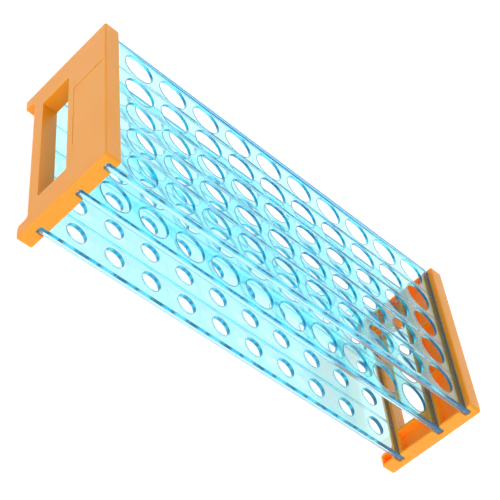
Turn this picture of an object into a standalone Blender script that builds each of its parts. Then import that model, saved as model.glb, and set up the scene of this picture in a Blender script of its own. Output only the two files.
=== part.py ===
"""Knock-down test tube rack: two moulded end plates and three clear perforated shelves.

Units are metres, +Z is up. X runs along the rack from one end plate to the other,
Y runs across it (-Y is the side that the shelves slide in from), and the feet stand on z = 0.
"""
import math

import bmesh
import bpy
from mathutils import Vector

MM = 0.001

# overall size
LENGTH = 246.0
DEPTH = 106.4
HEIGHT = 60.2

# end plate: a base sheet with a raised layer of rims and rails on the inside
PLATE_T = 8.6
BASE_T = 3.9
RIM = 1.7
FOOT_W = 8.4
FOOT_H = 6.9
WIN_Y = 36.7
WIN_Z0 = 14.1
WIN_Z1 = 33.5

# shelves
SHELF_T = 3.3
SHEET_T = {"top_shelf": 1.5, "middle_shelf": 1.5, "bottom_shelf": 2.0}
SKIRT_W = 0.9
GAP = 0.3
SHELF_TOP = {"top_shelf": 56.7, "middle_shelf": 38.6, "bottom_shelf": 12.0}
FRONT_IN = {"top_shelf": 0.2, "middle_shelf": 0.3, "bottom_shelf": 0.7}
PITCH_X = 22.0
PITCH_Y = 20.57
COLS = 10
ROWS = 5
TUBE_R = 8.5
DRAIN_R = 5.5
BACK_WEB = 1.8
RIB_W = 0.7
RIB_H = {"top_shelf": 0.4, "middle_shelf": 0.4, "bottom_shelf": 0.8}
LEDGE = 0.3

ORANGE = (0.90, 0.36, 0.075, 1.0)
CYAN = (0.22, 0.80, 0.93, 1.0)


def clear_scene():
    for ob in list(bpy.data.objects):
        bpy.data.objects.remove(ob, do_unlink=True)


def make_material(name, colour, roughness, metallic=0.0, alpha=1.0):
    mat = bpy.data.materials.new(name)
    mat.use_nodes = True
    shader = mat.node_tree.nodes["Principled BSDF"]
    shader.inputs["Base Color"].default_value = colour
    shader.inputs["Roughness"].default_value = roughness
    shader.inputs["Metallic"].default_value = metallic
    shader.inputs["Alpha"].default_value = alpha
    return mat


def link(name, mesh, mat=None):
    ob = bpy.data.objects.new(name, mesh)
    bpy.context.scene.collection.objects.link(ob)
    if mat:
        mesh.materials.append(mat)
    return ob


def box_into(bm, lo, hi):
    """A closed box between two corners given in millimetres."""
    geom = bmesh.ops.create_cube(bm, size=1.0)
    for v in geom["verts"]:
        v.co = Vector([(lo[i] + (v.co[i] + 0.5) * (hi[i] - lo[i])) * MM for i in range(3)])
    return geom["verts"]


def prism(name, outline, x0, x1, mat=None):
    """A closed prism along X from an outline of (y, z) points, counter-clockwise seen from +X."""
    bm = bmesh.new()
    verts = [bm.verts.new((x0 * MM, y * MM, z * MM)) for y, z in outline]
    face = bm.faces.new(verts)
    out = bmesh.ops.extrude_face_region(bm, geom=[face])
    top = [g for g in out["geom"] if isinstance(g, bmesh.types.BMVert)]
    bmesh.ops.translate(bm, verts=top, vec=((x1 - x0) * MM, 0, 0))
    bmesh.ops.recalc_face_normals(bm, faces=bm.faces)
    mesh = bpy.data.meshes.new(name)
    bm.to_mesh(mesh)
    bm.free()
    return link(name, mesh, mat)


def rounded(points, radii, steps=4):
    """Rounds the corners of a closed outline; radii has one value for each corner, and 0 keeps it sharp."""
    out = []
    n = len(points)
    for i in range(n):
        p = Vector(points[i])
        a = (Vector(points[i - 1]) - p).normalized()
        b = (Vector(points[(i + 1) % n]) - p).normalized()
        r = radii[i]
        if r <= 0:
            out.append(tuple(p))
            continue
        half = a.angle(b) / 2
        dist = r / math.tan(half)
        centre = p + (a + b).normalized() * (r / math.sin(half))
        s = p + a * dist - centre
        e = p + b * dist - centre
        a0 = math.atan2(s.y, s.x)
        a1 = math.atan2(e.y, e.x)
        d = (a1 - a0 + math.pi) % (2 * math.pi) - math.pi
        for k in range(steps + 1):
            t = a0 + d * k / steps
            out.append((centre.x + r * math.cos(t), centre.y + r * math.sin(t)))
    return out


def plate_outline():
    """The side view of an end plate: a wide panel with a foot at each lower corner."""
    h = DEPTH / 2
    pts = [
        (-h, 0.0),
        (-h + FOOT_W, 0.0),
        (-h + FOOT_W, FOOT_H),
        (h - FOOT_W, FOOT_H),
        (h - FOOT_W, 0.0),
        (h, 0.0),
        (h, HEIGHT),
        (-h, HEIGHT),
    ]
    return rounded(pts, [0.8, 2.2, 1.6, 1.6, 2.2, 0.8, 1.0, 1.0], steps=3)


def cutter(name, fill):
    bm = bmesh.new()
    fill(bm)
    bmesh.ops.recalc_face_normals(bm, faces=bm.faces)
    mesh = bpy.data.meshes.new(name)
    bm.to_mesh(mesh)
    bm.free()
    ob = link(name, mesh)
    ob.hide_render = True
    ob.display_type = "WIRE"
    return ob


def subtract(ob, tool):
    mod = ob.modifiers.new("cut_" + tool.name, "BOOLEAN")
    mod.operation = "DIFFERENCE"
    mod.solver = "EXACT"
    mod.object = tool


def bake(ob):
    """Replaces an object's mesh with its evaluated mesh and drops the modifiers."""
    dg = bpy.context.evaluated_depsgraph_get()
    mesh = bpy.data.meshes.new_from_object(ob.evaluated_get(dg))
    ob.modifiers.clear()
    old = ob.data
    ob.data = mesh
    bpy.data.meshes.remove(old)


def end_plate(name, side, mat):
    """side is -1 for the plate at the -X end and +1 for the one at +X. The inner face looks to the middle."""
    xo = side * LENGTH / 2
    xi = side * (LENGTH / 2 - PLATE_T)
    xf = side * (LENGTH / 2 - BASE_T)
    far = side * (LENGTH / 2 - PLATE_T - 5.0)
    ob = prism(name, plate_outline(), min(xo, xi), max(xo, xi), mat)
    h = DEPTH / 2

    def span(a, b):
        return min(a, b), max(a, b)

    def add(bm, y0, y1, z0, z1, xa=xf, xb=far):
        a, b = span(xa, xb)
        box_into(bm, (a, y0, z0), (b, y1, z1))

    # hand window, right through the plate
    def window(bm):
        outline = rounded(
            [(-WIN_Y, WIN_Z0), (WIN_Y, WIN_Z0), (WIN_Y, WIN_Z1), (-WIN_Y, WIN_Z1)], [1.2] * 4, steps=3
        )
        a, b = span(xo + side * 5.0, far)
        verts = [bm.verts.new((a * MM, y * MM, z * MM)) for y, z in outline]
        face = bm.faces.new(verts)
        out = bmesh.ops.extrude_face_region(bm, geom=[face])
        top = [g for g in out["geom"] if isinstance(g, bmesh.types.BMVert)]
        bmesh.ops.translate(bm, verts=top, vec=((b - a) * MM, 0, 0))

    # grooves for the shelf ends: open at the front edge, stopped by a thin web at the back
    def grooves(bm):
        for top in SHELF_TOP.values():
            add(bm, -h - 5.0, h - BACK_WEB, top - SHELF_T - GAP, top + GAP)

    # shallow pockets between the rims and the rails
    def pockets(bm):
        top = SHELF_TOP["top_shelf"]
        mid = SHELF_TOP["middle_shelf"]
        low = SHELF_TOP["bottom_shelf"]
        z0 = mid + GAP + RIM
        z1 = top - SHELF_T - GAP - RIM
        ribs = [-h + RIM, -h / 3 - 0.6, h / 3 - 0.6, h - BACK_WEB]
        for a, b in zip(ribs[:-1], ribs[1:]):
            add(bm, a + (1.2 if a > -h + RIM else 0.0), b, z0, z1)
        zb = low + GAP + RIM
        zt = mid - SHELF_T - GAP - 1.5
        add(bm, -h + RIM, -WIN_Y - RIM, zb, zt)
        add(bm, WIN_Y + RIM, h - BACK_WEB, zb, zt)
        # small pockets in the feet, below the lowest groove
        zf = low - SHELF_T - GAP - 1.4
        add(bm, -h + RIM, -h + FOOT_W - RIM, 1.6, zf)
        add(bm, h - FOOT_W + RIM, h - BACK_WEB, 1.6, zf)

    for label, fill in (("window", window), ("grooves", grooves), ("pockets", pockets)):
        tool = cutter(name + "_" + label, fill)
        subtract(ob, tool)
        bake(ob)
        bpy.data.objects.remove(tool, do_unlink=True)
    return ob


def shelf(name, radius, segments, mat):
    """A thin sheet with a grid of holes, a skirt all round and a low rib between rows on the underside.

    Its ends are tongues for the grooves, stepped at the back so that they stop against the web.
    """
    top = SHELF_TOP[name]
    x1 = LENGTH / 2 - BASE_T - GAP
    xi = LENGTH / 2 - PLATE_T - GAP
    h = DEPTH / 2
    yf = -h + FRONT_IN[name]
    yb = h - BACK_WEB - GAP
    bm = bmesh.new()
    outline = [
        (-x1, yf), (x1, yf), (x1, yb), (xi, yb), (xi, h), (-xi, h), (-xi, yb), (-x1, yb),
    ]
    verts = [bm.verts.new((x * MM, y * MM, (top - SHELF_T) * MM)) for x, y in outline]
    face = bm.faces.new(verts)
    out = bmesh.ops.extrude_face_region(bm, geom=[face])
    up = [g for g in out["geom"] if isinstance(g, bmesh.types.BMVert)]
    bmesh.ops.translate(bm, verts=up, vec=(0, 0, SHELF_T * MM))
    bmesh.ops.recalc_face_normals(bm, faces=bm.faces)
    mesh = bpy.data.meshes.new(name)
    bm.to_mesh(mesh)
    bm.free()
    ob = link(name, mesh, mat)

    def upright(bm2, pts, z0, z1):
        vs = [bm2.verts.new((x * MM, y * MM, z0 * MM)) for x, y in pts]
        f = bm2.faces.new(vs)
        o = bmesh.ops.extrude_face_region(bm2, geom=[f])
        u = [g for g in o["geom"] if isinstance(g, bmesh.types.BMVert)]
        bmesh.ops.translate(bm2, verts=u, vec=(0, 0, (z1 - z0) * MM))

    def inner(inset):
        """The outline of the underside inside the skirt, moved in by inset."""
        a = x1 - SKIRT_W - inset
        c = xi - SKIRT_W - inset
        y0, y1, y2 = yf + SKIRT_W + inset, yb - SKIRT_W - inset, h - SKIRT_W - inset
        return a, c, y0, y1, y2

    rib_foot = top - SHEET_T[name] - RIB_H[name]

    def hollow(bm2):
        # the whole underside inside the skirt, up to the foot of the low ribs
        a, c, y0, y1, y2 = inner(0.0)
        pts = [(-a, y0), (a, y0), (a, y1), (c, y1), (c, y2), (-c, y2), (-c, y1), (-a, y1)]
        upright(bm2, pts, top - SHELF_T - 2.0, rib_foot)

    def rows(bm2):
        # from there up to the sheet, one shallow field under each row, between the ribs
        a, c, front, step, back = inner(LEDGE)
        for j in range(ROWS):
            y0 = (j - ROWS / 2) * PITCH_Y + RIB_W / 2 if j else front
            y1 = (j + 1 - ROWS / 2) * PITCH_Y - RIB_W / 2
            pts = [(-a, y0), (a, y0), (a, y1), (-a, y1)]
            if j == ROWS - 1:
                pts = [(-a, y0), (a, y0), (a, step), (c, step), (c, back), (-c, back), (-c, step), (-a, step)]
            upright(bm2, pts, rib_foot - 0.8, top - SHEET_T[name])

    def holes(bm2):
        for i in range(COLS):
            for j in range(ROWS):
                x = (i - (COLS - 1) / 2) * PITCH_X
                y = (j - (ROWS - 1) / 2) * PITCH_Y
                geom = bmesh.ops.create_cone(
                    bm2, cap_ends=True, segments=segments,
                    radius1=radius * MM, radius2=radius * MM, depth=(SHELF_T + 4.0) * MM,
                )
                bmesh.ops.translate(
                    bm2, verts=geom["verts"], vec=(x * MM, y * MM, (top - SHELF_T / 2) * MM)
                )

    for label, fill in (("hollow", hollow), ("rows", rows), ("holes", holes)):
        tool = cutter(name + "_" + label, fill)
        subtract(ob, tool)
        bake(ob)
        bpy.data.objects.remove(tool, do_unlink=True)
    return ob


def recentre(ob, point):
    """Puts the object's origin at a point without moving its surface."""
    offset = Vector(point) * MM
    for v in ob.data.vertices:
        v.co -= offset
    ob.location = offset


def main():
    clear_scene()
    orange_l = make_material("orange_plastic_left", ORANGE, 0.38)
    orange_r = make_material("orange_plastic_right", ORANGE, 0.38)
    end_plate("left_end_plate", -1, orange_l)
    end_plate("right_end_plate", 1, orange_r)
    for name, radius, segments in (
        ("top_shelf", TUBE_R, 16),
        ("middle_shelf", TUBE_R, 16),
        ("bottom_shelf", DRAIN_R, 12),
    ):
        clear = make_material(name + "_clear_plastic", CYAN, 0.06, alpha=0.45)
        ob = shelf(name, radius, segments, clear)
        recentre(ob, (0.0, -DEPTH / 2, SHELF_TOP[name] - SHELF_T / 2))


main()
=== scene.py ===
"""Looks of the knock-down test tube rack: two orange moulded end plates and three clear cyan shelves.

All lengths below are in millimetres unless a name says otherwise, in the same frame as the CAD:
X along the rack, Y across it (-Y is the side the shelves slide in from), Z up, feet on z = 0.
"""
import math

import bmesh
import bpy
from mathutils import Matrix, Vector
from mathutils.geometry import tessellate_polygon


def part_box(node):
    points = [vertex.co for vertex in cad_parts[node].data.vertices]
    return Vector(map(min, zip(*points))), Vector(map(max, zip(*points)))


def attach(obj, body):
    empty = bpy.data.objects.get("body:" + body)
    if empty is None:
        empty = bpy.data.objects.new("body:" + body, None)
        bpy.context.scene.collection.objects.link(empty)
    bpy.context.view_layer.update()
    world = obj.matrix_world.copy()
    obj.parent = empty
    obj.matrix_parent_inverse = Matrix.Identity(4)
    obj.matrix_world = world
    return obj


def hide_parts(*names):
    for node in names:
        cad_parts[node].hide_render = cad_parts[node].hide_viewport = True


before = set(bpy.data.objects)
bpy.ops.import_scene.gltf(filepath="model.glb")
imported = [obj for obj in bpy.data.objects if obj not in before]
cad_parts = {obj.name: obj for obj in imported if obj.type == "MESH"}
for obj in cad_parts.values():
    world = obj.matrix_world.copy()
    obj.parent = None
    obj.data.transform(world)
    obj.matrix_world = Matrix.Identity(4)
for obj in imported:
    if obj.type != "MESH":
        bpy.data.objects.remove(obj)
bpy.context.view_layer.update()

MM = 0.001

# ---------------------------------------------------------------- sizes (the CAD's)
lo_l, hi_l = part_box("left_end_plate")
lo_r, hi_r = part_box("right_end_plate")
LENGTH = (hi_r[0] - lo_l[0]) / MM
DEPTH = (hi_l[1] - lo_l[1]) / MM
HEIGHT = (hi_l[2] - lo_l[2]) / MM
PLATE_T = (hi_l[0] - lo_l[0]) / MM
BASE_T = 3.9
RIM = 1.7
FOOT_W = 8.4
FOOT_H = 6.9
WIN_Y = 36.7
WIN_Z0 = 14.1
WIN_Z1 = 33.5
SHELF_T = 3.3
SHEET_T = {"top_shelf": 1.5, "middle_shelf": 1.5, "bottom_shelf": 2.0}
SKIRT_W = 0.9
GAP = 0.3
SHELF_TOP = {"top_shelf": 56.7, "middle_shelf": 38.6, "bottom_shelf": 12.0}
FRONT_IN = {"top_shelf": 0.2, "middle_shelf": 0.3, "bottom_shelf": 0.7}
SAG = {"top_shelf": 0.8, "middle_shelf": 0.0, "bottom_shelf": 0.0}  # at mid-length
RIM_R = {"top_shelf": 0.26, "middle_shelf": 0.26, "bottom_shelf": 0.08}  # edge radius of the holes
PITCH_X = 22.0
PITCH_Y = 20.57
COLS = 10
ROWS = 5
TUBE_R = 8.5
DRAIN_R = 5.5
BACK_WEB = 1.8
RIB_W = 0.7
RIB_H = {"top_shelf": 0.4, "middle_shelf": 0.4, "bottom_shelf": 0.8}
LEDGE = 0.3


# ---------------------------------------------------------------- materials
def new_material(name):
    mat = bpy.data.materials.new(name)
    mat.use_nodes = True
    nt = mat.node_tree
    return mat, nt, nt.nodes["Principled BSDF"]


def node(nt, kind, **values):
    n = nt.nodes.new(kind)
    for key, value in values.items():
        if key in n.inputs.keys():
            n.inputs[key].default_value = value
        else:
            setattr(n, key, value)
    return n


def ramp(nt, source, stops):
    r = nt.nodes.new("ShaderNodeValToRGB")
    els = r.color_ramp.elements
    while len(els) < len(stops):
        els.new(0.5)
    for el, (pos, col) in zip(els, stops):
        el.position = pos
        el.color = col
    nt.links.new(source, r.inputs["Fac"])
    return r


def orange_plastic(name, seed, glow=0.0, tint=(1.0, 0.14, 0.015, 1)):
    """Moulded orange plastic: a fine spark-eroded grain, slight flow variation and soft gloss. glow is painted
    light: the surface emits in the colour tint, standing in for the red light that comes through the thin web
    at the bottom of a pocket from the bright side behind it, and brightening faces that lie in shade."""
    mat, nt, bsdf = new_material(name)
    co = node(nt, "ShaderNodeTexCoord")
    shift = node(nt, "ShaderNodeMapping")
    shift.inputs["Location"].default_value = (seed, seed * 0.7, seed * 0.3)
    nt.links.new(co.outputs["Object"], shift.inputs["Vector"])

    flow = node(nt, "ShaderNodeTexNoise", Scale=22.0, Detail=3.0, Roughness=0.5)
    nt.links.new(shift.outputs["Vector"], flow.inputs["Vector"])
    colour = ramp(nt, flow.outputs["Fac"], [
        (0.25, (0.880, 0.330, 0.006, 1)),
        (0.55, (0.900, 0.345, 0.008, 1)),
        (0.80, (0.915, 0.360, 0.011, 1)),
    ])
    nt.links.new(colour.outputs["Color"], bsdf.inputs["Base Color"])

    patch = node(nt, "ShaderNodeTexNoise", Scale=60.0, Detail=4.0, Roughness=0.6)
    nt.links.new(shift.outputs["Vector"], patch.inputs["Vector"])
    rough = ramp(nt, patch.outputs["Fac"], [(0.30, (0.36, 0.36, 0.36, 1)), (0.75, (0.47, 0.47, 0.47, 1))])
    nt.links.new(rough.outputs["Color"], bsdf.inputs["Roughness"])

    grain = node(nt, "ShaderNodeTexNoise", Scale=1500.0, Detail=3.0, Roughness=0.6)
    nt.links.new(shift.outputs["Vector"], grain.inputs["Vector"])
    wave = node(nt, "ShaderNodeTexNoise", Scale=35.0, Detail=2.0, Roughness=0.5)
    nt.links.new(shift.outputs["Vector"], wave.inputs["Vector"])
    b1 = node(nt, "ShaderNodeBump", Strength=0.10, Distance=0.0001)
    nt.links.new(grain.outputs["Fac"], b1.inputs["Height"])
    b2 = node(nt, "ShaderNodeBump", Strength=0.12, Distance=0.0006)
    nt.links.new(wave.outputs["Fac"], b2.inputs["Height"])
    nt.links.new(b1.outputs["Normal"], b2.inputs["Normal"])
    nt.links.new(b2.outputs["Normal"], bsdf.inputs["Normal"])
    bsdf.inputs["IOR"].default_value = 1.50
    bsdf.inputs["Subsurface Weight"].default_value = 0.60
    bsdf.inputs["Subsurface Radius"].default_value = (0.0060, 0.0012, 0.0003)
    bsdf.inputs["Subsurface Scale"].default_value = 1.0
    # painted glow: the emission below is light painted onto the plastic, which is no lamp
    bsdf.inputs["Emission Color"].default_value = tint
    bsdf.inputs["Emission Strength"].default_value = glow
    return mat


def clear_plastic(name, seed, density):
    """Transparent cyan polystyrene: smooth, refracting, coloured by depth, with faint flow lines."""
    mat, nt, bsdf = new_material(name)
    bsdf.inputs["Roughness"].default_value = 0.04
    bsdf.inputs["IOR"].default_value = 1.54
    bsdf.inputs["Transmission Weight"].default_value = 1.0
    # the cut and moulded side walls are less polished than the two flat faces. The light that is guided
    # inside the sheet and comes out of them is painted on below as a faint glow.
    geo = node(nt, "ShaderNodeNewGeometry")
    split = node(nt, "ShaderNodeSeparateXYZ")
    nt.links.new(geo.outputs["Normal"], split.inputs["Vector"])
    flat = node(nt, "ShaderNodeMath", operation="ABSOLUTE")
    nt.links.new(split.outputs["Z"], flat.inputs[0])
    rough = node(nt, "ShaderNodeMapRange", interpolation_type="SMOOTHSTEP")
    rough.inputs["From Min"].default_value = 0.30
    rough.inputs["From Max"].default_value = 0.90
    rough.inputs["To Max"].default_value = 0.04
    nt.links.new(flat.outputs["Value"], rough.inputs["Value"])
    # the hole walls keep the texture of the core pins; the ribs and the outer skirt are smoother. Along Y,
    # the holes and the ribs take turns: 0 in the middle of a row of holes, 0.5 on the rib between two rows
    place = node(nt, "ShaderNodeTexCoord")
    where = node(nt, "ShaderNodeSeparateXYZ")
    nt.links.new(place.outputs["Object"], where.inputs["Vector"])

    def math_node(operation, source, value=0.0):
        m = node(nt, "ShaderNodeMath", operation=operation)
        nt.links.new(source, m.inputs[0])
        m.inputs[1].default_value = value
        return m.outputs["Value"]

    turn = math_node("ADD", math_node("DIVIDE", where.outputs["Y"], PITCH_Y * MM), 0.5)
    turn = math_node("ABSOLUTE", math_node("SUBTRACT", math_node("FRACT", turn), 0.5))
    other = node(nt, "ShaderNodeMapRange")
    other.inputs["From Min"].default_value = 0.43
    other.inputs["From Max"].default_value = 0.45
    nt.links.new(turn, other.inputs["Value"])
    outer = math_node("GREATER_THAN", math_node("ABSOLUTE", where.outputs["Y"]), 0.050)
    either = node(nt, "ShaderNodeMath", operation="MAXIMUM")
    nt.links.new(other.outputs["Result"], either.inputs[0])
    nt.links.new(outer, either.inputs[1])
    pins = node(nt, "ShaderNodeMapRange")
    pins.inputs["To Min"].default_value = 0.38
    pins.inputs["To Max"].default_value = 0.14
    nt.links.new(either.outputs["Value"], pins.inputs["Value"])
    nt.links.new(pins.outputs["Result"], rough.inputs["To Min"])
    nt.links.new(rough.outputs["Result"], bsdf.inputs["Roughness"])
    # painted light: the side walls of the holes pass light through a deeper cyan than the flat faces, the ribs
    # and the skirt, painted for the colour of light that has run a long way inside the sheet
    body = ramp(nt, flat.outputs["Value"], [(0.30, (0.58, 0.92, 1.0, 1)), (0.90, (0.97, 1.0, 1.0, 1))])
    tint = node(nt, "ShaderNodeMix", data_type="RGBA")
    nt.links.new(either.outputs["Value"], tint.inputs["Factor"])
    nt.links.new(body.outputs["Color"], tint.inputs[6])
    tint.inputs[7].default_value = (0.97, 1.0, 1.0, 1)
    nt.links.new(tint.outputs[2], bsdf.inputs["Base Color"])
    # painted glow: a faint emission, blue on the side walls and dark teal on the flat faces, stands in for
    # light guided inside the sheet; the plastic is no lamp
    edge = ramp(nt, flat.outputs["Value"], [(0.30, (0.01, 0.33, 1.0, 1)), (0.90, (0.003, 0.15, 0.25, 1))])
    nt.links.new(edge.outputs["Color"], bsdf.inputs["Emission Color"])
    bsdf.inputs["Emission Strength"].default_value = 0.06
    co = node(nt, "ShaderNodeTexCoord")
    shift = node(nt, "ShaderNodeMapping")
    shift.inputs["Location"].default_value = (seed, seed, 0)
    shift.inputs["Scale"].default_value = (0.35, 1.0, 1.0)
    nt.links.new(co.outputs["Object"], shift.inputs["Vector"])
    wave = node(nt, "ShaderNodeTexNoise", Scale=70.0, Detail=1.5, Roughness=0.4)
    nt.links.new(shift.outputs["Vector"], wave.inputs["Vector"])
    bump = node(nt, "ShaderNodeBump", Strength=0.10, Distance=0.0006)
    nt.links.new(wave.outputs["Fac"], bump.inputs["Height"])
    nt.links.new(bump.outputs["Normal"], bsdf.inputs["Normal"])
    vol = node(nt, "ShaderNodeVolumeAbsorption")
    vol.inputs["Color"].default_value = (0.0, 0.940, 0.980, 1)
    vol.inputs["Density"].default_value = density
    nt.links.new(vol.outputs["Volume"], nt.nodes["Material Output"].inputs["Volume"])
    return mat


# ---------------------------------------------------------------- mesh helpers
def new_object(name, bm, mat):
    mesh = bpy.data.meshes.new(name)
    bm.to_mesh(mesh)
    bm.free()
    mesh.materials.append(mat)
    ob = bpy.data.objects.new(name, mesh)
    bpy.context.scene.collection.objects.link(ob)
    return ob


def circle(cx, cy, r, n, turn=0.0):
    return [
        (cx + r * math.cos(2 * math.pi * (k + turn) / n), cy + r * math.sin(2 * math.pi * (k + turn) / n))
        for k in range(n)
    ]


def rounded(points, radii, steps=4):
    """Rounds the corners of a closed outline; a radius of 0 keeps a corner sharp."""
    out = []
    n = len(points)
    for i in range(n):
        p = Vector(points[i])
        a = (Vector(points[i - 1]) - p).normalized()
        b = (Vector(points[(i + 1) % n]) - p).normalized()
        r = radii[i]
        if r <= 0:
            out.append(tuple(p))
            continue
        half = a.angle(b) / 2
        dist = r / math.tan(half)
        centre = p + (a + b).normalized() * (r / math.sin(half))
        s = p + a * dist - centre
        e = p + b * dist - centre
        a0 = math.atan2(s.y, s.x)
        a1 = math.atan2(e.y, e.x)
        d = (a1 - a0 + math.pi) % (2 * math.pi) - math.pi
        for k in range(steps + 1):
            t = a0 + d * k / steps
            out.append((centre.x + r * math.cos(t), centre.y + r * math.sin(t)))
    return out


def offset_loop(loop, amount):
    """Moves a closed outline inwards (positive) or outwards; the outline runs counter-clockwise."""
    n = len(loop)
    out = []
    for i in range(n):
        p = Vector(loop[i])
        a = (p - Vector(loop[i - 1])).normalized()
        b = (Vector(loop[(i + 1) % n]) - p).normalized()
        na = Vector((-a.y, a.x))
        nb = Vector((-b.y, b.x))
        m = na + nb
        m = m / max(m.dot(na), 1e-6)
        out.append(tuple(p + m * amount))
    return out


def shelf_mesh(name, radius, mat, segments):
    """One moulded shelf as a closed mesh: a thin sheet with round holes, a skirt all round and ribs
    between the rows on its underside. Every edge has a small moulded radius; flat faces are truly flat."""
    top = SHELF_TOP[name]
    zt, zs, zb = top, top - SHEET_T[name], top - SHELF_T  # top face, underside of the sheet, foot of the skirt
    x1 = LENGTH / 2 - BASE_T - GAP
    xi = LENGTH / 2 - PLATE_T - GAP
    h = DEPTH / 2
    yf = -h + FRONT_IN[name]
    yb = h - BACK_WEB - GAP
    outline = rounded(
        [(-x1, yf), (x1, yf), (x1, yb), (xi, yb), (xi, h), (-xi, h), (-xi, yb), (-x1, yb)],
        [0.6, 0.6, 0.6, 0.4, 0.6, 0.6, 0.4, 0.6], steps=3,
    )
    bm = bmesh.new()
    smooth_faces = []

    def ring(points, z):
        return [bm.verts.new((x * MM, y * MM, z * MM)) for x, y in points]

    def bridge(r0, r1, flip):
        n = len(r0)
        for k in range(n):
            q = [r0[k], r0[(k + 1) % n], r1[(k + 1) % n], r1[k]]
            if flip:
                q.reverse()
            smooth_faces.append(bm.faces.new(q))

    def arc(r, steps=3):
        """(distance from the wall, distance from the face) along a quarter round, from wall to face."""
        return [(r * (1 - math.cos(t)), r * (1 - math.sin(t))) for t in (math.pi / 2 * k / steps for k in range(steps + 1))]

    def wall(loop_at, levels, flip):
        rings = [ring(loop_at(d), z) for d, z in levels]
        for p, q in zip(rings[:-1], rings[1:]):
            bridge(p, q, flip)
        return rings[0], rings[-1]

    e = 0.14  # outside edge radius
    g = 0.15  # inside corner radius, where a wall meets the sheet
    levels = [(d, zb + k) for d, k in reversed(arc(e))] + [(d, zt - k) for d, k in arc(e)]
    out_bottom, out_top = wall(lambda d: offset_loop(outline, d), levels, False)

    def inner(inset):
        """The outline of the underside inside the skirt, moved in by inset."""
        a, c = x1 - SKIRT_W - inset, xi - SKIRT_W - inset
        return a, c, yf + SKIRT_W + inset, yb - SKIRT_W - inset, h - SKIRT_W - inset

    # the whole underside inside the skirt, up to the foot of the low ribs
    zr = zs - RIB_H[name]
    a, c, y0, y1, y2 = inner(0.0)
    loop = rounded(
        [(-a, y0), (a, y0), (a, y1), (c, y1), (c, y2), (-c, y2), (-c, y1), (-a, y1)],
        [0.8, 0.8, 0.6, 0.5, 0.8, 0.8, 0.5, 0.6], steps=3,
    )
    levels = [(-d, zb + k) for d, k in reversed(arc(e))] + [(0.0, zr)]
    hollow_foot, hollow_top = wall(lambda d: offset_loop(loop, d), levels, True)

    # from there up to the sheet, one shallow field under each row, between the ribs
    field_foot, field_roof = [], []
    a, c, front, step, back = inner(LEDGE)
    for j in range(ROWS):
        y0 = (j - ROWS / 2) * PITCH_Y + RIB_W / 2 if j else front
        y1 = (j + 1 - ROWS / 2) * PITCH_Y - RIB_W / 2
        pts, rad = [(-a, y0), (a, y0), (a, y1), (-a, y1)], [0.6] * 4
        if j == ROWS - 1:
            pts = [(-a, y0), (a, y0), (a, step), (c, step), (c, back), (-c, back), (-c, step), (-a, step)]
            rad = [0.6, 0.6, 0.5, 0.5, 0.6, 0.6, 0.5, 0.5]
        loop = rounded(pts, rad, steps=3)
        # outwards at the foot (rounded rib edge), inwards at the roof (filleted corner)
        levels = [(-d, zr + k) for d, k in reversed(arc(0.10))] + [(d, zs - k) for d, k in arc(g)]
        lo, hi = wall(lambda d, loop=loop: offset_loop(loop, d), levels, True)
        field_foot.append(lo)
        field_roof.append(hi)

    hole_top, hole_bottom = [], [[] for _ in range(ROWS)]
    rim = RIM_R[name]
    levels = [(d, zs + k) for d, k in reversed(arc(rim))] + [(d, zt - k) for d, k in arc(rim)]
    for i in range(COLS):
        for j in range(ROWS):
            cx = (i - (COLS - 1) / 2) * PITCH_X
            cy = (j - (ROWS - 1) / 2) * PITCH_Y
            lo, hi = wall(lambda d, cx=cx, cy=cy: circle(cx, cy, radius + d, segments), levels, True)
            hole_bottom[j].append(lo)
            hole_top.append(hi)

    def fill(loops, up):
        flat = [v for lp in loops for v in lp]
        tris = tessellate_polygon([[v.co.copy() / MM for v in lp] for lp in loops])
        for t in tris:
            vs = [flat[k] for k in t]
            n = (vs[1].co - vs[0].co).cross(vs[2].co - vs[0].co)
            if (n.z > 0) != up:
                vs.reverse()
            try:
                bm.faces.new(vs)
            except ValueError:
                pass

    fill([out_top] + hole_top, True)
    fill([out_bottom, hollow_foot], False)
    fill([hollow_top] + field_foot, False)
    for roof, holes in zip(field_roof, hole_bottom):
        fill([roof] + holes, False)
    for fc in smooth_faces:
        fc.smooth = True
    # a long thin sheet held only at its ends hangs a little in the middle
    for v in bm.verts:
        v.co.z -= SAG[name] * MM * max(0.0, 1.0 - (v.co.x / (x1 * MM)) ** 2)
    return new_object(name + "_moulding", bm, mat)


def closed(ob):
    bm = bmesh.new()
    bm.from_mesh(ob.data)
    bad = [e for e in bm.edges if len(e.link_faces) != 2]
    vol = bm.calc_volume(signed=True)
    bm.free()
    return len(bad), vol * 1e9


# ---------------------------------------------------------------- end plates
def box_into(bm, lo, hi):
    geom = bmesh.ops.create_cube(bm, size=1.0)
    for v in geom["verts"]:
        v.co = Vector([(lo[i] + (v.co[i] + 0.5) * (hi[i] - lo[i])) * MM for i in range(3)])
    return geom["verts"]


def x_prism(bm, outline, x0, x1):
    """A closed prism along X of an outline of (y, z) points."""
    a, b = min(x0, x1), max(x0, x1)
    verts = [bm.verts.new((a * MM, y * MM, z * MM)) for y, z in outline]
    face = bm.faces.new(verts)
    out = bmesh.ops.extrude_face_region(bm, geom=[face])
    top = [g for g in out["geom"] if isinstance(g, bmesh.types.BMVert)]
    bmesh.ops.translate(bm, verts=top, vec=((b - a) * MM, 0, 0))


def y_prism(bm, outline, y0, y1):
    """A closed prism along Y of an outline of (x, z) points."""
    verts = [bm.verts.new((x * MM, y0 * MM, z * MM)) for x, z in outline]
    face = bm.faces.new(verts)
    out = bmesh.ops.extrude_face_region(bm, geom=[face])
    top = [g for g in out["geom"] if isinstance(g, bmesh.types.BMVert)]
    bmesh.ops.translate(bm, verts=top, vec=(0, (y1 - y0) * MM, 0))


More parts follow.
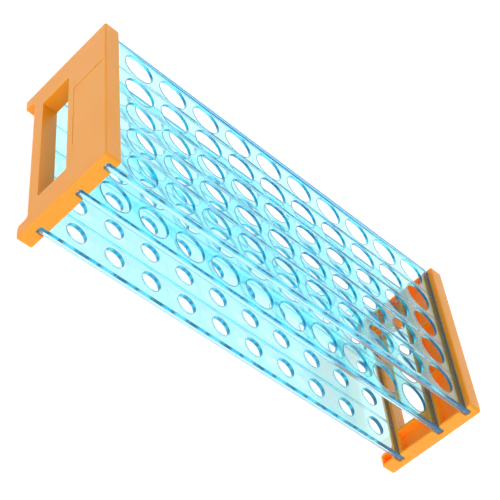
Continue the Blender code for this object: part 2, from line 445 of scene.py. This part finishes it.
def plain(name, fill):
    bm = bmesh.new()
    fill(bm)
    bmesh.ops.recalc_face_normals(bm, faces=bm.faces)
    mesh = bpy.data.meshes.new(name)
    bm.to_mesh(mesh)
    bm.free()
    ob = bpy.data.objects.new(name, mesh)
    bpy.context.scene.collection.objects.link(ob)
    return ob


def evaluate(ob):
    dg = bpy.context.evaluated_depsgraph_get()
    mesh = bpy.data.meshes.new_from_object(ob.evaluated_get(dg))
    ob.modifiers.clear()
    old = ob.data
    ob.data = mesh
    bpy.data.meshes.remove(old)


def carve(ob, tool):
    mod = ob.modifiers.new("carve", "BOOLEAN")
    mod.operation = "DIFFERENCE"
    mod.solver = "EXACT"
    mod.object = tool
    evaluate(ob)
    bpy.data.objects.remove(tool, do_unlink=True)


def round_edges(ob, width, segments):
    """Rounds every edge sharper than 38 degrees; edges that are already rounded stay as they are."""
    bev = ob.modifiers.new("edge_radius", "BEVEL")
    bev.width = width * MM
    bev.segments = segments
    bev.limit_method = "ANGLE"
    bev.angle_limit = math.radians(38)
    bev.use_clamp_overlap = True
    bev.harden_normals = False
    evaluate(ob)


# thin and inner are the two glowing copies of the plastic: painted light for the pocket floors and for the
# faces turned in towards the shelves
def plate_mesh(name, side, mat, thin, inner):
    xo = side * LENGTH / 2
    xi = side * (LENGTH / 2 - PLATE_T)
    xf = side * (LENGTH / 2 - BASE_T)
    far = side * (LENGTH / 2 - PLATE_T - 5.0)
    h = DEPTH / 2
    outline = rounded(
        [(-h, 0.0), (-h + FOOT_W, 0.0), (-h + FOOT_W, FOOT_H), (h - FOOT_W, FOOT_H),
         (h - FOOT_W, 0.0), (h, 0.0), (h, HEIGHT), (-h, HEIGHT)],
        [1.0, 2.2, 1.6, 1.6, 2.2, 1.0, 1.0, 1.8], steps=5,
    )
    ob = plain(name + "_moulding", lambda bm: x_prism(bm, outline, xo, xi))
    round_edges(ob, 0.90, 4)

    def add(bm, y0, y1, za, zb, xa=xf, xb=far):
        box_into(bm, (min(xa, xb), y0, za), (max(xa, xb), y1, zb))

    def window(bm):
        x_prism(
            bm,
            rounded([(-WIN_Y, WIN_Z0), (WIN_Y, WIN_Z0), (WIN_Y, WIN_Z1), (-WIN_Y, WIN_Z1)], [1.2] * 4, steps=4),
            xo + side * 5.0, far,
        )

    def grooves(bm):
        for top in SHELF_TOP.values():
            a, b = top - SHELF_T - GAP, top + GAP
            pts = [(xf, a), (far, a), (far, b), (xf, b)]
            pts = rounded(pts, [0.9, 0, 0, 0.9], steps=4)
            y_prism(bm, pts, -h - 5.0, h - BACK_WEB)

    def pockets():
        top = SHELF_TOP["top_shelf"]
        mid = SHELF_TOP["middle_shelf"]
        low = SHELF_TOP["bottom_shelf"]
        za = mid + GAP + RIM
        zb = top - SHELF_T - GAP - RIM
        ribs = [-h + RIM, -h / 3 - 0.6, h / 3 - 0.6, h - BACK_WEB]
        for a, b in zip(ribs[:-1], ribs[1:]):
            yield a + (1.2 if a > -h + RIM else 0.0), b, za, zb
        zc = low + GAP + RIM
        zd = mid - SHELF_T - GAP - 1.5
        yield -h + RIM, -WIN_Y - RIM, zc, zd
        yield WIN_Y + RIM, h - BACK_WEB, zc, zd
        zf = low - SHELF_T - GAP - 1.4
        yield -h + RIM, -h + FOOT_W - RIM, 1.6, zf
        yield h - FOOT_W + RIM, h - BACK_WEB, 1.6, zf

    def panel(bm):
        # a very shallow sunk field on the outer face
        x_prism(bm, rounded([(-23.2, 37.3), (22.8, 37.3), (22.8, 58.4), (-23.2, 58.4)], [0.6] * 4, steps=3),
                xo - side * 0.18, xo + side * 3.0)

    for fill in (window, grooves):
        carve(ob, plain("cutter", fill))
    for spot in pockets():
        carve(ob, plain("cutter", lambda bm, spot=spot: add(bm, *spot)))
    round_edges(ob, 0.40, 3)
    carve(ob, plain("cutter", panel))
    for p in ob.data.polygons:
        p.use_smooth = True
    ob.data.set_sharp_from_angle(angle=math.radians(33))
    wn = ob.modifiers.new("normals", "WEIGHTED_NORMAL")
    wn.mode = "FACE_AREA"
    wn.weight = 80
    wn.keep_sharp = True
    evaluate(ob)
    # slot 0 is the plain plastic; slots 1 and 2 are copies that glow, painted light
    ob.data.materials.clear()
    ob.data.materials.append(mat)
    ob.data.materials.append(thin)
    ob.data.materials.append(inner)
    # painted light: the faces inside the pockets get the stronger painted glow, every other face turned in
    # towards the rack a weaker one
    spots = list(pockets())
    for p in ob.data.polygons:
        x, y, z = p.center / MM
        deep = abs(x) > abs(xi) + 0.25 and abs(x) < abs(xf) + 0.1
        inside = any(a - 0.1 < y < b + 0.1 and c - 0.1 < z < d + 0.1 for a, b, c, d in spots)
        facing_in = abs(x) < abs(xf) + 0.1 and p.normal.x * side < -0.4
        p.material_index = 1 if deep and inside else 2 if facing_in else 0
    return ob


# ---------------------------------------------------------------- the rack
orange_l = orange_plastic("orange_plastic_left", 0.0)
orange_r = orange_plastic("orange_plastic_right", 3.7)
for label, side, mat in (("left_end_plate", -1, orange_l), ("right_end_plate", 1, orange_r)):
    # painted light: two glowing copies of each plate's plastic, a red one for the pocket floors and a weaker
    # orange one for the faces turned in towards the shelves
    thin = orange_plastic(mat.name + "_painted_pocket_glow", 1.1 * side, glow=0.175)
    inner = orange_plastic(mat.name + "_painted_inward_glow", 2.3 * side, glow=0.11, tint=(1.0, 0.24, 0.02, 1))
    piece = plate_mesh(label, side, mat, thin, inner)
    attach(piece, "frame")
    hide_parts(label)
    print("closed", label, closed(piece))

for k, (label, radius, segs, density) in enumerate((
    ("top_shelf", TUBE_R, 72, 300.0), ("middle_shelf", TUBE_R, 72, 410.0), ("bottom_shelf", DRAIN_R, 60, 190.0),
)):
    piece = shelf_mesh(label, radius, clear_plastic(label + "_clear_plastic", 1.3 * k, density), segs)
    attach(piece, label)
    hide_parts(label)
    print("closed", label, closed(piece))

# ---------------------------------------------------------------- floor, light, camera
floor_mat, fnt, fb = new_material("pale_floor")
fb.inputs["Base Color"].default_value = (0.30, 0.30, 0.30, 1)
fb.inputs["Roughness"].default_value = 1.0
fb.inputs["Specular IOR Level"].default_value = 0.0
fb.inputs["Emission Color"].default_value = (1, 1, 1, 1)
fb.inputs["Emission Strength"].default_value = 0.90
bm = bmesh.new()
bmesh.ops.create_grid(bm, x_segments=1, y_segments=1, size=6.0)
floor = new_object("floor", bm, floor_mat)
floor.location = (0, 0, -0.0002)

world = bpy.data.worlds.new("studio")
bpy.context.scene.world = world
world.use_nodes = True
wnt = world.node_tree
bg = wnt.nodes["Background"]
bg.inputs["Color"].default_value = (1, 1, 1, 1)
# a white studio with two broad soft lights: a lit wall behind the table and a softbox in front of it
wco = node(wnt, "ShaderNodeTexCoord")


def soft_light(direction, narrow, wide, strength):
    """Extra brightness of the room around a direction, fading out between two cosines."""
    d = node(wnt, "ShaderNodeVectorMath", operation="DOT_PRODUCT")
    d.inputs[1].default_value = Vector(direction).normalized()
    wnt.links.new(wco.outputs["Generated"], d.inputs[0])
    m = node(wnt, "ShaderNodeMapRange", interpolation_type="SMOOTHSTEP")
    m.inputs["From Min"].default_value = wide
    m.inputs["From Max"].default_value = narrow
    m.inputs["To Min"].default_value = 0.0
    m.inputs["To Max"].default_value = strength
    wnt.links.new(d.outputs["Value"], m.inputs["Value"])
    return m.outputs["Result"]


behind = soft_light((0.493, 0.765, 0.415), 0.92, 0.45, 0.83)
front = soft_light((-0.25, -0.85, 0.46), 0.96, 0.72, 1.3)
both = node(wnt, "ShaderNodeMath", operation="ADD")
wnt.links.new(behind, both.inputs[0])
wnt.links.new(front, both.inputs[1])
room = node(wnt, "ShaderNodeMath", operation="ADD")
room.inputs[1].default_value = 0.42
wnt.links.new(both.outputs["Value"], room.inputs[0])
wnt.links.new(room.outputs["Value"], bg.inputs["Strength"])


def area(name, loc, aim, size, power, colour=(1, 1, 1)):
    data = bpy.data.lights.new(name, "AREA")
    data.shape = "DISK"
    data.size = size
    data.energy = power
    data.color = colour
    ob = bpy.data.objects.new(name, data)
    bpy.context.scene.collection.objects.link(ob)
    ob.location = loc
    d = Vector(aim) - Vector(loc)
    ob.rotation_euler = d.to_track_quat("-Z", "Y").to_euler()
    return ob


area("main", (-0.375, -1.275, 0.72), (0, 0, 0.03), 0.5, 3.0)

cam_data = bpy.data.cameras.new("camera")
cam = bpy.data.objects.new("camera", cam_data)
bpy.context.scene.collection.objects.link(cam)
right = Vector((0.71550529, -0.08542717, 0.69336454))
up = Vector((-0.49482713, 0.63863678, 0.58931246))
back = right.cross(up)
rot = Matrix((right, up, back)).transposed().to_4x4()
cam.matrix_world = Matrix.Translation(Vector((-0.330768, -0.502637, 0.304763))) @ rot
cam_data.sensor_width = 36.0
cam_data.lens = 95.645
cam_data.clip_start = 0.01
cam_data.clip_end = 50.0
bpy.context.scene.camera = cam

sc = bpy.context.scene
sc.view_settings.view_transform = "Standard"
sc.view_settings.look = "None"
sc.view_settings.exposure = 0.0
# light guided inside the clear shelves needs many turns before it leaves them again
sc.cycles.max_bounces = 48
sc.cycles.transmission_bounces = 48
sc.cycles.glossy_bounces = 8
sc.cycles.diffuse_bounces = 5
